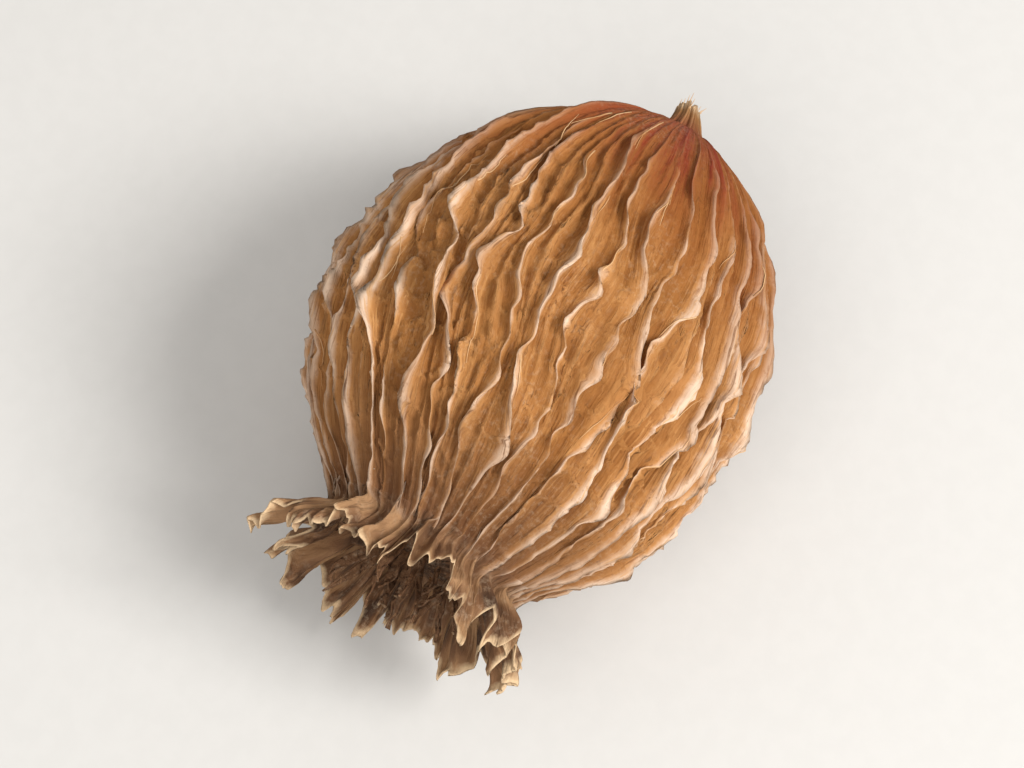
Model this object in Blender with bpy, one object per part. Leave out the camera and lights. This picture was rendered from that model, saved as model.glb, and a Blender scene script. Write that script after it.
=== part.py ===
"""A dried black cardamom pod, lying on its side.

The pod is one fruit: a plump, faintly three-sided husk with wavy ribs that run from the scar of
its stalk to the dried calyx, a ragged collar round a crumpled mouth at the other end. It grew as
one piece, so it is one closed solid. +X points to the stalk, +Z up. The origin is under the
middle of the pod, on the surface that it rests on. Run with: blender --background --python part.py
"""

import math
import random
from collections import namedtuple

import bmesh
import bpy

MM = 0.001
FULL_TURN = 2 * math.pi

# The husk, without its stalk and its calyx.
HUSK_LENGTH = 22.9 * MM
HUSK_RADIUS = 8.7 * MM
WIDER = 1.03  # the husk is a little wider than it is high
LOWER = 0.93
STALK_TAPER = 0.60  # how full the shoulders are at the stalk, 0.5 being an ellipse
CALYX_TAPER = 0.56
STALK_SHARE = 0.014  # how far past each end the husk's curve would close
CALYX_SHARE = 0.066
THREE_SIDED = 0.035  # a flat side of the three lies down
DENTED = 0.018
DENT_TWIST = 7  # radians that the dents wind round the husk from end to end
DENT_START = 0.8
BEND = 0.55 * MM
RINGS = 49

# The ribs, which run the whole length of the husk.
RIB_COUNT = 44
RIB_HEIGHT = 0.86 * MM
RIB_WIDTH = 0.21  # of the way to the next rib
RIB_SHARPNESS = 1.15
RIB_STRENGTH = (0.60, 1.22)  # from the weakest rib to the strongest
RIB_SWELL = 0.28  # how much a rib's height rises and falls along it
SWELL_TURNS = (3.0, 6.0)
RIB_JITTER = 0.20
RIB_WEAVE = 0.30
WEAVE_TURNS = (1.4, 3.2)
RIB_CALM = 0.25  # how much of the weave and the swell there is at the stalk, where the ribs run straight
CALM_UNTIL = 0.1  # shares of the way from the stalk to the calyx
UNREST_FROM = 0.6
RIB_TWIST = 0.30
RIB_SEED = 11
PRESSED = 0.62  # how much lower the ribs are where the pod lies on them
PRESSED_FROM = 0.84  # how far down a side they start to be lower, with 1 as straight down
PRESSED_ALL = 0.98
COLUMNS_ON_RIB = (0.0, 0.5)  # its crest, and the valley after it

# The stump of the stalk, which thins towards its slanting broken end.
STALK_LENGTH = 1.9 * MM
STALK_RADIUS = 0.95 * MM
STALK_STEPS = ((1.0, 0.48), (0.95, 0.80), (0.50, 0.86), (0.12, 1.15))  # shares: how far out, how thick
STALK_SLANT = 0.45 * MM
STALK_BEND = 0.35 * MM
STALK_FLUTES = 0.10 * MM
STALK_HOLLOW = 0.86  # how far out the middle of its broken end is, as a share

# The dried calyx: a pleated collar, torn into lobes, round a crumpled mouth.
CALYX_LENGTH = 5.4 * MM
CALYX_NOTCH = 0.60  # the length that is left between two lobes, as a share
CALYX_LOPSIDED = 0.16
CALYX_WAIST = 3.80 * MM
CALYX_WAIST_AT = 0.3  # shares of the way up the collar
CALYX_OPENS_AT = 0.2
CALYX_FLARE = 1.45 * MM
CALYX_LEAN = 0.85 * MM  # how far a lobe leans in or out of line
CALYX_WALL = 0.75 * MM
CALYX_PLEAT = 0.50 * MM
CALYX_OUTSIDE = (0.10, 0.28, 0.52, 0.78, 1.0)  # the rings up the outside, as shares
CALYX_INSIDE = (0.97, 0.60)  # and down the inside
LOBE_COUNT = 11
LOBE_ROUNDNESS = 0.6
LOBE_CROWDING = 0.05  # how unevenly the lobes share the collar
LOBE_LENGTH = (0.74, 1.0)
LOBE_SEED = 8
MOUTH_DEPTH = 0.75  # of the collar's length
MOUTH_CLUMP = 2.1 * MM
CLUMP_STEPS = ((0.42, 0.0), (0.26, 0.8))  # shares: how thick, how far up
CLUMP_PLEAT = 0.15 * MM
MOUTH_FLOOR = -HUSK_LENGTH / 2 - CALYX_LENGTH * (1 - MOUTH_DEPTH) * CALYX_NOTCH

# The flat spot that it lies on.
FLAT_DEPTH = 0.42 * MM
SNAP = 0.001 * MM

HUSK_BROWN = (0.27, 0.13, 0.062, 1.0)
HUSK_ROUGHNESS = 0.72
CREASE_ANGLE = 50  # degrees

Rib = namedtuple("Rib", "angle strength weave_turns weave_phase swell_turns swell_phase")
Lobe = namedtuple("Lobe", "length lean")


def make_ribs():
    """Each rib's place round the husk, its strength and the way it wavers."""
    draw = random.Random(RIB_SEED)
    ribs = []
    for number in range(RIB_COUNT):
        ribs.append(
            Rib(
                angle=FULL_TURN * (number + draw.uniform(-RIB_JITTER, RIB_JITTER)) / RIB_COUNT,
                strength=draw.uniform(*RIB_STRENGTH),
                weave_turns=draw.uniform(*WEAVE_TURNS),
                weave_phase=draw.random(),
                swell_turns=draw.uniform(*SWELL_TURNS),
                swell_phase=draw.random(),
            )
        )
    return ribs


def make_lobes():
    """Each lobe of the calyx: its share of the full length, and its lean from -1, in, to 1, out."""
    draw = random.Random(LOBE_SEED)
    return [Lobe(draw.uniform(*LOBE_LENGTH), draw.uniform(-1, 1)) for _ in range(LOBE_COUNT)]


RIBS = make_ribs()
LOBES = make_lobes()


def smooth(low, high, value):
    """0 below low, 1 above high, and a smooth rise between them."""
    share = min(max((value - low) / (high - low), 0), 1)
    return share * share * (3 - 2 * share)


def husk_radius(along):
    """The husk's mean radius, along running from 0 at the stalk to 1 at the calyx."""
    fullest = (STALK_TAPER * (1 + CALYX_SHARE) - CALYX_TAPER * STALK_SHARE) / (STALK_TAPER + CALYX_TAPER)

    def curve(place):
        return (place + STALK_SHARE) ** STALK_TAPER * (1 + CALYX_SHARE - place) ** CALYX_TAPER

    return HUSK_RADIUS * curve(along) / curve(fullest)


def unrest(along):
    """How much the ribs waver at this place: little at the stalk, fully in the half by the calyx."""
    return RIB_CALM + (1 - RIB_CALM) * smooth(CALM_UNTIL, UNREST_FROM, along)


def rib_angle(rib, along):
    """The angle round the husk at which a rib's crest stands."""
    weave = math.sin(FULL_TURN * (rib.weave_turns * along + rib.weave_phase))
    weave *= RIB_WEAVE * FULL_TURN / RIB_COUNT * math.sin(math.pi * along) * unrest(along)
    return rib.angle + weave + RIB_TWIST * (along - 0.5)


def crest(distance):
    """A rib's height at this distance from its crest, as a share, with 1 as the way to the next rib."""
    return math.exp(-((distance / RIB_WIDTH) ** RIB_SHARPNESS))


def rib_swell(rib, along):
    """How strong a rib is at this place: it rises and falls like a frill."""
    wave = math.sin(FULL_TURN * (rib.swell_turns * along + rib.swell_phase))
    return rib.strength * (1 + RIB_SWELL * wave * unrest(along))


def between_ribs(number, share, along):
    """The angle at this share of the way to the next rib, and the relief, about 1 on a crest."""
    here = RIBS[number]
    there = RIBS[(number + 1) % RIB_COUNT]
    start = rib_angle(here, along)
    end = rib_angle(there, along)
    if end < start:
        end += FULL_TURN
    relief = rib_swell(here, along) * crest(share) + rib_swell(there, along) * crest(1 - share)
    return start + (end - start) * share, relief


def place_on_pod(number, share, along, x, radius, rib_height):
    """The point where the mean radius and the height of the ribs are as given."""
    angle, relief = between_ribs(number, share, along)
    fullness = math.sin(math.pi * along)
    down = smooth(PRESSED_FROM, PRESSED_ALL, -math.sin(angle)) * fullness
    three_sided = THREE_SIDED * math.cos(3 * (angle - math.pi / 2))
    dented = DENTED * math.sin(2 * angle + DENT_TWIST * along + DENT_START)
    out = radius * (1 + fullness * (three_sided + dented))
    out += rib_height * relief * (1 - PRESSED * down)
    y = BEND * fullness + WIDER * out * math.cos(angle)
    return x, y, LOWER * out * math.sin(angle)


def stalk_column(number, share):
    """The stump of the stalk, from its broken end to the husk."""
    upward = math.sin(FULL_TURN * (number + share) / RIB_COUNT)
    for reach, thickness in STALK_STEPS:
        out = STALK_LENGTH * reach - STALK_SLANT * reach * (1 - upward) / 2
        radius = STALK_RADIUS * thickness
        x, y, z = place_on_pod(number, share, 0, HUSK_LENGTH / 2 + out, radius, STALK_FLUTES)
        yield x, y + STALK_BEND * reach**2, z


def husk_column(number, share):
    """The husk, from the stalk to the calyx. The rings stand closer towards both ends."""
    for ring in range(RINGS):
        along = (1 - math.cos(math.pi * ring / (RINGS - 1))) / 2
        radius = husk_radius(along)
        x = HUSK_LENGTH * (0.5 - along)
        yield place_on_pod(number, share, along, x, radius, RIB_HEIGHT * radius / HUSK_RADIUS)


def calyx_column(number, share):
    """Up the collar's outside, over its torn edge, and down into the mouth to the clump in it."""
    round_collar = (number + share) / RIB_COUNT
    crowding = LOBE_CROWDING * math.sin(2 * FULL_TURN * round_collar)
    turn = (round_collar + crowding) % 1 * LOBE_COUNT
    lobe = LOBES[int(turn)]
    tongue = math.sin(math.pi * (turn % 1)) ** LOBE_ROUNDNESS
    length = CALYX_LENGTH * lobe.length * (CALYX_NOTCH + (1 - CALYX_NOTCH) * tongue)
    length *= 1 - CALYX_LOPSIDED * (0.5 + 0.5 * math.sin(FULL_TURN * round_collar))
    lean = CALYX_LEAN * lobe.lean * tongue
    husk_end = -HUSK_LENGTH / 2
    radius_at_husk = husk_radius(1)

    def outside(reach):
        waist = (CALYX_WAIST - radius_at_husk) * smooth(0, CALYX_WAIST_AT, reach)
        return radius_at_husk + waist + smooth(CALYX_OPENS_AT, 1, reach) * (CALYX_FLARE + lean)

    for reach in CALYX_OUTSIDE:
        yield place_on_pod(number, share, 1, husk_end - length * reach, outside(reach), CALYX_PLEAT)
    for reach in (*CALYX_INSIDE, 1 - MOUTH_DEPTH):
        radius = outside(reach) - CALYX_WALL
        yield place_on_pod(number, share, 1, husk_end - length * reach, radius, CALYX_PLEAT)
    for out, rise in CLUMP_STEPS:
        x = MOUTH_FLOOR - MOUTH_CLUMP * rise
        yield place_on_pod(number, share, 1, x, CALYX_WAIST * out, CLUMP_PLEAT)


def pod_mesh():
    """The whole skin: an outline for each column, from the stalk to the mouth, and the faces between."""
    mesh = bmesh.new()
    columns = []
    for number in range(RIB_COUNT):
        for share in COLUMNS_ON_RIB:
            outline = [
                *stalk_column(number, share),
                *husk_column(number, share),
                *calyx_column(number, share),
            ]
            columns.append([mesh.verts.new(point) for point in outline])
    stalk_end = mesh.verts.new((HUSK_LENGTH / 2 + STALK_HOLLOW * STALK_LENGTH, STALK_BEND, 0))
    clump_top = mesh.verts.new((MOUTH_FLOOR - MOUTH_CLUMP, 0, 0))
    for column, following in zip(columns, columns[1:] + columns[:1]):
        mesh.faces.new((stalk_end, column[0], following[0]))
        for row in range(len(column) - 1):
            mesh.faces.new((column[row], column[row + 1], following[row + 1], following[row]))
        mesh.faces.new((column[-1], clump_top, following[-1]))
    bmesh.ops.triangulate(mesh, faces=mesh.faces[:], quad_method="SHORT_EDGE")
    bmesh.ops.recalc_face_normals(mesh, faces=mesh.faces[:])
    return mesh


def press_flat(mesh):
    """Levels off the lowest FLAT_DEPTH, which is the spot that the pod lies on."""
    level = min(vertex.co.z for vertex in mesh.verts) + FLAT_DEPTH
    everything = mesh.verts[:] + mesh.edges[:] + mesh.faces[:]
    cut = bmesh.ops.bisect_plane(
        mesh,
        geom=everything,
        dist=SNAP,
        plane_co=(0, 0, level),
        plane_no=(0, 0, -1),
        clear_outer=True,
    )
    rim = [item for item in cut["geom_cut"] if isinstance(item, bmesh.types.BMEdge)]
    bmesh.ops.holes_fill(mesh, edges=rim, sides=0)
    bmesh.ops.triangulate(mesh, faces=[face for face in mesh.faces if len(face.verts) > 3])
    for vertex in mesh.verts:
        if vertex.co.z < level + SNAP:
            vertex.co.z = level


def centre_on_floor(mesh):
    """Moves the origin to the middle of the pod's length and width, at its lowest point."""
    corners = [vertex.co for vertex in mesh.verts]
    middle = [(min(c[axis] for c in corners) + max(c[axis] for c in corners)) / 2 for axis in (0, 1)]
    floor = min(c.z for c in corners)
    bmesh.ops.translate(mesh, verts=mesh.verts[:], vec=(-middle[0], -middle[1], -floor))


def husk_material():
    """Dry, leathery brown husk."""
    material = bpy.data.materials.new("dried_husk")
    material.use_nodes = True
    shader = material.node_tree.nodes["Principled BSDF"]
    shader.inputs["Base Color"].default_value = HUSK_BROWN
    shader.inputs["Roughness"].default_value = HUSK_ROUGHNESS
    return material


def main():
    for thing in list(bpy.data.objects):
        bpy.data.objects.remove(thing)
    mesh = pod_mesh()
    press_flat(mesh)
    centre_on_floor(mesh)
    skin = bpy.data.meshes.new("cardamom_pod")
    mesh.to_mesh(skin)
    mesh.free()
    skin.shade_smooth()
    skin.set_sharp_from_angle(angle=math.radians(CREASE_ANGLE))
    skin.materials.append(husk_material())
    pod = bpy.data.objects.new("cardamom_pod", skin)
    bpy.context.scene.collection.objects.link(pod)


main()
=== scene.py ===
"""The looks of a dried black cardamom pod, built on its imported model."""

import math
import random
from collections import namedtuple

import bpy
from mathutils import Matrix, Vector, noise


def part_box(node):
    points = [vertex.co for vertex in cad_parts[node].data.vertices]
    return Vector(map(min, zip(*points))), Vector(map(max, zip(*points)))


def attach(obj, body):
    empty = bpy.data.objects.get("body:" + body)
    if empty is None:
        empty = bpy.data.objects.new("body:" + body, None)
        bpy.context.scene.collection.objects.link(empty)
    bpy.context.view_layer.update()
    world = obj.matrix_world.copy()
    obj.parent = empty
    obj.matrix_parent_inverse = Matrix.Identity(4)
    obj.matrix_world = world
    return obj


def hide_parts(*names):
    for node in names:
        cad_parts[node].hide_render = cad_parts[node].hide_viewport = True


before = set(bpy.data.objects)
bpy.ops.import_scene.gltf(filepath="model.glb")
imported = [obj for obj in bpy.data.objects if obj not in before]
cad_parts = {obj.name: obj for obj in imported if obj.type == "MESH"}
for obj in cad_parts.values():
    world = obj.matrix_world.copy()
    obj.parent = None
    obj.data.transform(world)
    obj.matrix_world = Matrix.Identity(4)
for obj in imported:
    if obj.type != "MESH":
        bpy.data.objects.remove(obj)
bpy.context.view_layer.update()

# The ribs. They are the pod's own growth: papery fins that run the whole length of the fruit,
# from the scar of its stalk to the dried calyx. They dried into a loose frill, so each one
# wavers, rises and falls, and leans over to one side or the other.
MM = 0.001
FULL_TURN = 2 * math.pi
RIB_COUNT = 44
RIB_HEIGHT = 0.86 * MM
RIB_WIDTH = 0.21  # of the way to the next rib
RIB_SHARPNESS = 1.15
RIB_STRENGTH = (0.60, 1.22)
RIB_SWELL = 0.28
SWELL_TURNS = (3.0, 6.0)
RIB_JITTER = 0.20
RIB_WEAVE = 0.30
WEAVE_TURNS = (1.4, 3.2)
RIB_CALM = 0.25  # how much of the weave and the swell there is at the stalk
UNREST_GROWS = (0.1, 0.6)
RIB_TWIST = 0.30
RIB_SEED = 11
FIN_HEIGHT = 0.42  # the papery edge, as a share of the rib
FIN_WIDTH = 0.078
FIN_SHARPNESS = 1.4
PALE_EDGE = 0.050  # how wide the bleached line along a papery edge is
FIN_RISEN = (0.03, 0.34)  # where along the husk a papery edge has its full height
EARLIEST_RISEN = 0.02
FOOT_HEIGHT = 0.66
FLAT_FOOT = 0.3  # how much of the foot there is before the papery edge rises
FOOT_SHADE = 0.30  # what the foot, the edge and its bleached line add to the paleness: painted highlight where the rib stands up, and wear along the bleached line
FIN_SHADE = 0.28
PALE_SHADE = 0.42
LEAN_AT_STALK = 0.45
FRILL = 0.42  # how much the papery edge goes up and down, as a share of the rib
FRILL_AT_STALK = 0.88
MORE_FRILL = 0.42  # what is added to that towards the calyx
LATE_HALF = (0.45, 0.80)  # where the frill gets stronger
TORN = (0.34, 0.50)
MORE_TORN = 0.14
TEAR_DEPTH = 0.60
WORN = 0.62  # how bleached an edge is, before it wavers
MOST_WORN = 1.2
WORN_AT_STALK = 0.38
WORN_FROM = (0.06, 0.42)
MINOR_HEIGHT = 0.42 * MM  # a low rib between two that stand up
MINOR_WIDTH = 0.085
MINOR_SHARPNESS = 1.3
MINOR_PLACE = (0.38, 0.62)  # shares of the gap between the two
MINOR_SHOWS = (-0.36, 0.22)
MINOR_SEED = 4
SEED_STEP = Vector((7.3, 3.1, 5.7))  # how far apart two seeds are in the noise

Rib = namedtuple("Rib", "angle strength weave_turns weave_phase swell_turns swell_phase")
Waver = namedtuple("Waver", "height rate spacing lane")  # after its height, its way through the noise
FRILL_SLOW = Waver(1.0, 20.61, 3.33, 0.0)
FRILL_QUICK = Waver(0.6, 52.67, 8.51, 0.0)
TEARS = Waver(1.0, 12.595, 2.035, 4.4)
WORN_SLOW = Waver(0.9, 18.32, 5.04, 6.48)
WORN_QUICK = Waver(0.5, 66.41, 18.27, 23.49)
FIN_RISES = Waver(1.0, 5.5, 3.7, 0.4)
FIN_LEAN = Waver(0.80 * MM, 9.618, 5.1, 9.2)
FIN_CURL = Waver(0.52 * MM, 24.045, 3.3, 1.4)
MINOR_DRIFT = Waver(0.16, 7.0, 4.1, 2.2)
MINOR_PRESENCE = Waver(1.0, 3.8, 2.9, 6.6)


def make_ribs():
    """Each rib's place round the husk, its strength and the way it wavers."""
    draw = random.Random(RIB_SEED)
    ribs = []
    for number in range(RIB_COUNT):
        ribs.append(
            Rib(
                angle=FULL_TURN * (number + draw.uniform(-RIB_JITTER, RIB_JITTER)) / RIB_COUNT,
                strength=draw.uniform(*RIB_STRENGTH),
                weave_turns=draw.uniform(*WEAVE_TURNS),
                weave_phase=draw.random(),
                swell_turns=draw.uniform(*SWELL_TURNS),
                swell_phase=draw.random(),
            )
        )
    return ribs


def make_minor_places():
    """Where the low rib stands in the gap after each rib, as a share of the gap."""
    draw = random.Random(MINOR_SEED)
    return [draw.uniform(*MINOR_PLACE) for _ in range(RIB_COUNT)]


RIBS = make_ribs()
MINOR_PLACES = make_minor_places()


def smooth(low, high, value):
    """0 below low, 1 above high, and a smooth rise between them."""
    share = min(max((value - low) / (high - low), 0), 1)
    return share * share * (3 - 2 * share)


def mix(start, end, share):
    """The value at this share of the way from one to the other."""
    return start + (end - start) * share


def wander(place, size, seed):
    """Noise from about -1 to 1 that changes over this size."""
    return noise.noise(place / size + SEED_STEP * seed)


def crease(place, size, seed, sharpness):
    """1 on thin lines that wander over the surface, falling to 0 beside them."""
    return max(1 - abs(wander(place, size, seed)) * sharpness, 0) ** 2


def unrest(along):
    """How much the ribs waver at this place: little at the stalk, fully in the half by the calyx."""
    return mix(RIB_CALM, 1, smooth(*UNREST_GROWS, along))


def rib_angle(rib, along):
    """The angle round the husk at which a rib's crest stands."""
    weave = math.sin(FULL_TURN * (rib.weave_turns * along + rib.weave_phase))
    weave *= RIB_WEAVE * FULL_TURN / RIB_COUNT * math.sin(math.pi * along) * unrest(along)
    return rib.angle + weave + RIB_TWIST * (along - 0.5)


def rib_swell(rib, along):
    """How strong a rib is at this place."""
    wave = math.sin(FULL_TURN * (rib.swell_turns * along + rib.swell_phase))
    return rib.strength * (1 + RIB_SWELL * wave * unrest(along))


def foot(distance):
    """The height of a rib's foot at this distance from its crest, with 1 as the way to the next rib."""
    return math.exp(-((distance / RIB_WIDTH) ** RIB_SHARPNESS))


def fin(distance, width=FIN_WIDTH):
    """The height of a rib's papery edge at this distance from its crest."""
    return math.exp(-((distance / width) ** FIN_SHARPNESS))


def neighbours(number, share):
    """The ribs on both sides of a place on the husk, with how far it is from each."""
    return (RIBS[number], share), (RIBS[(number + 1) % RIB_COUNT], 1 - share)


def angle_between(number, share, along):
    """The angle at this share of the way from one rib to the next."""
    here, there = (rib_angle(rib, along) for rib, _ in neighbours(number, share))
    if there < here:
        there += FULL_TURN
    return mix(here, there, share)


# The husk. It is a leathery, fibrous skin, dried hard and brown over the seeds, and it is the
# whole of the fruit that shows between the stalk and the calyx. Between the ribs it has sunk
# in and puckered, most of all in the half that is near the calyx.
HUSK_LENGTH = 22.9 * MM
HUSK_RADIUS = 8.7 * MM
WIDER = 1.03
LOWER = 0.93
STALK_TAPER = 0.60
CALYX_TAPER = 0.56
STALK_SHARE = 0.014
CALYX_SHARE = 0.066
LAST_SHARE = 0.9  # how much of that is used, because the curve closes at its end
THREE_SIDED = 0.035
DENTED = 0.018
DENT_TWIST = 7
DENT_START = 0.8
BEND = 0.55 * MM
PRESSED = 0.62
PRESSED_REACH = (0.84, 0.98)
STALK_LENGTH = 1.9 * MM
CAD_RINGS = 49
CAD_COLUMNS = (0.0, 0.5)
HUSK_RINGS = 152
COLUMNS_A_RIB = 14
CROWDED = 0.42  # how much closer the columns stand at a crest, and the rings at the ends
NECK_BLEND = 1.4 * MM  # how softly the husk turns into the calyx
TUCKED_ROWS = 5  # rows that go on under the next piece, so that no gap can show
TUCK_STEP = 0.11 * MM
TUCK_DEPTH = 0.07 * MM
STALK_POLE_DEPTH = 0.3 * MM
CALYX_POLE_REACH = 0.6 * MM
ROUGH_SIDE = 0.6  # the angle of the side that is puckered up to the stalk, in radians
ROUGH_REACH = (0.1, 0.9)
ROUGH_FROM = (0.1, 0.3)
SMOOTH_PUCKER = 0.20
PUCKERED_FROM = (0.30, 0.75)
VALLEY_EDGE = 1.6
CREST_FOLDS = 0.45  # how deep the folds are on a crest, beside those in a valley
# How much paler a low rib makes the colour: painted highlight.
MINOR_SHADE = 1.2
MOST_FOLD = 1.3

Spot = namedtuple("Spot", "point ridge fold grain along")
# A fold's shade is the paleness that it adds to the colour: painted highlight on its crest.
Fold = namedtuple("Fold", "height size stretch sharpness shade seed")
STRIA = Fold(0.10 * MM, 0.40 * MM, 0.06, 2.8, 0.30, 8)
VEIN = Fold(0.18 * MM, 0.80 * MM, 0.12, 4.6, 0.30, 1)
WRINKLE = Fold(0.15 * MM, 0.42 * MM, 0.30, 3.6, 0.25, 5)
PUCKER = Fold(0.30 * MM, 1.3 * MM, 1.1, 4.6, 0.45, 2)
Wave = namedtuple("Wave", "height size stretch seed")
SAG = Wave(0.18 * MM, 3.0 * MM, 0.6, 3)
GRIT = Wave(0.035 * MM, 0.26 * MM, 1.0, 4)


def husk_radius(along):
    """The husk's mean radius, along running from 0 at the stalk to 1 at the calyx."""
    fullest = (STALK_TAPER * (1 + CALYX_SHARE) - CALYX_TAPER * STALK_SHARE) / (STALK_TAPER + CALYX_TAPER)

    def curve(place):
        return (place + STALK_SHARE) ** STALK_TAPER * (1 + CALYX_SHARE - place) ** CALYX_TAPER

    return HUSK_RADIUS * curve(along) / curve(fullest)


def soft_larger(first, second, blend):
    """The larger of two lengths, with a soft turn from one to the other."""
    near = max(blend - abs(first - second), 0) / blend
    return max(first, second) + near * near * blend / 4


def neck_radius(along, collar):
    """The husk's radius near the calyx, where it turns softly into the collar's radius."""
    return soft_larger(husk_radius(min(along, 1 + LAST_SHARE * CALYX_SHARE)), collar, NECK_BLEND)


def skin_radius(along):
    """The husk's mean radius, with its soft turn into the calyx."""
    return neck_radius(along, husk_radius(1)) if along > 0.5 else husk_radius(along)


def pressed(angle, along):
    """How much of the pod's weight the ribs carry here: 1 in the middle of the side that it lies on."""
    return smooth(*PRESSED_REACH, -math.sin(angle)) * math.sin(math.pi * along)


def round_pod(angle, along, x, radius, height):
    """The point at this angle, before the pod is set on the floor."""
    fullness = math.sin(math.pi * along)
    down = pressed(angle, along)
    three_sided = THREE_SIDED * math.cos(3 * (angle - math.pi / 2))
    dented = DENTED * math.sin(2 * angle + DENT_TWIST * along + DENT_START)
    out = radius * (1 + fullness * (three_sided + dented)) + height * (1 - PRESSED * down)
    y = BEND * fullness + WIDER * out * math.cos(angle)
    return Vector((x, y, LOWER * out * math.sin(angle)))


def plain_husk_point(number, share, along):
    """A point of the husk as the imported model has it."""
    relief = sum(rib_swell(rib, along) * foot(distance) for rib, distance in neighbours(number, share))
    radius = husk_radius(along)
    height = RIB_HEIGHT * radius / HUSK_RADIUS * relief
    return round_pod(angle_between(number, share, along), along, HUSK_LENGTH * (0.5 - along), radius, height)


def place_on_floor():
    """The way from the pod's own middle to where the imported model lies."""
    points = []
    for ring in range(CAD_RINGS):
        along = (1 - math.cos(math.pi * ring / (CAD_RINGS - 1))) / 2
        for number in range(RIB_COUNT):
            points += [plain_husk_point(number, share, along) for share in CAD_COLUMNS]
    _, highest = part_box("cardamom_pod")
    side = max(point.y for point in points)
    top = max(point.z for point in points)
    tip = HUSK_LENGTH / 2 + STALK_LENGTH
    return Vector((highest[0] - tip, highest[1] - side, highest[2] - top))


TO_FLOOR = place_on_floor()


def grain_place(number, share, along, height=0.0):
    """A place in the husk's own grain, in metres: the ribs run straight in it, and it has no seam."""
    turn = FULL_TURN * (number + share) / RIB_COUNT
    out = HUSK_RADIUS + height
    return Vector((out * math.cos(turn), out * math.sin(turn), HUSK_LENGTH * along))


def stretched(place, stretch):
    """The same place with its length along the pod shrunk, so that noise is drawn out along the ribs."""
    return Vector((place.x, place.y, place.z * stretch))


def waver_at(waver, number, along):
    """How one rib wavers here in one way, with noise up to about its height to both sides."""
    return waver.height * noise.noise(Vector((number * waver.spacing, along * waver.rate, waver.lane)))


def edge_height(number, along):
    """The frill of one rib's papery edge, as a share of its height, with the tears in it."""
    late = smooth(*LATE_HALF, along)
    wave = waver_at(FRILL_SLOW, number, along) + waver_at(FRILL_QUICK, number, along)
    tear = smooth(*TORN, waver_at(TEARS, number, along) + MORE_TORN * late)
    return 1 + FRILL * wave * (FRILL_AT_STALK + MORE_FRILL * late) - TEAR_DEPTH * tear


def edge_wear(number, along):
    """How bleached one rib's papery edge is at this place."""
    worn = WORN + waver_at(WORN_SLOW, number, along) + waver_at(WORN_QUICK, number, along)
    return min(max(worn, 0), MOST_WORN) * mix(WORN_AT_STALK, 1, smooth(*WORN_FROM, along))


def fin_rise(number, along):
    """How far one rib's papery edge has risen here. Each is fully up at its own place."""
    place = mix(*FIN_RISEN, 0.5 + waver_at(FIN_RISES, number, 1))
    return smooth(0, max(place, EARLIEST_RISEN), along)


def minor_rib(number, share, along):
    """The height, from 0 to 1, of the low rib in this gap. It comes and goes along the husk."""
    place = MINOR_PLACES[number] + waver_at(MINOR_DRIFT, number, along)
    presence = smooth(*MINOR_SHOWS, waver_at(MINOR_PRESENCE, number, along))
    here, there = (rib_angle(rib, along) for rib, _ in neighbours(number, share))
    room = (there - here) % FULL_TURN * RIB_COUNT / FULL_TURN
    return presence * room * math.exp(-((abs(share - place) / MINOR_WIDTH) ** MINOR_SHARPNESS))


def fin_lean(number, along):
    """How far one rib's papery edge leans over, and to which side."""
    calm = mix(LEAN_AT_STALK, 1, unrest(along))
    return waver_at(FIN_LEAN, number, along) * calm + waver_at(FIN_CURL, number, along) * unrest(along)


RibRelief = namedtuple("RibRelief", "height sideways ridge")
Relief = namedtuple("Relief", "height sideways ridge fold")


def rib_relief(number, share, along):
    """The two ribs beside this place: how they stand out, lean over and catch the light."""
    height, lean, ridge = 0, 0, 0
    for (rib, distance), owner in zip(neighbours(number, share), (number, (number + 1) % RIB_COUNT)):
        swell = rib_swell(rib, along)
        risen = fin_rise(owner, along)
        own_foot = foot(distance)
        own_fin = fin(distance) * risen
        pale = fin(distance, PALE_EDGE) * edge_wear(owner, along)
        height += FOOT_HEIGHT * swell * own_foot * mix(FLAT_FOOT, 1, risen)
        height += FIN_HEIGHT * swell * own_fin * edge_height(owner, along)
        lean += fin_lean(owner, along) * own_fin
        ridge += (FOOT_SHADE * own_foot + FIN_SHADE * own_fin + PALE_SHADE * pale) * min(swell, 1)
    return RibRelief(RIB_HEIGHT * height, lean, ridge)


def puckered(number, share, along):
    """How much the skin has puckered here: most by the calyx and on the rough side."""
    turn = FULL_TURN * (number + share) / RIB_COUNT
    rough_side = smooth(*ROUGH_REACH, math.cos(turn - ROUGH_SIDE)) * smooth(*ROUGH_FROM, along)
    return max(mix(SMOOTH_PUCKER, 1, smooth(*PUCKERED_FROM, along)), rough_side)


def fold_at(kind, grain):
    """1 on the folds of this kind, falling to 0 beside them."""
    return crease(stretched(grain, kind.stretch), kind.size, kind.seed, kind.sharpness)


def wave_at(kind, grain):
    """How far this kind of wave stands out here, or sinks in below 0."""
    return kind.height * wander(stretched(grain, kind.stretch), kind.size, kind.seed)


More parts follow.
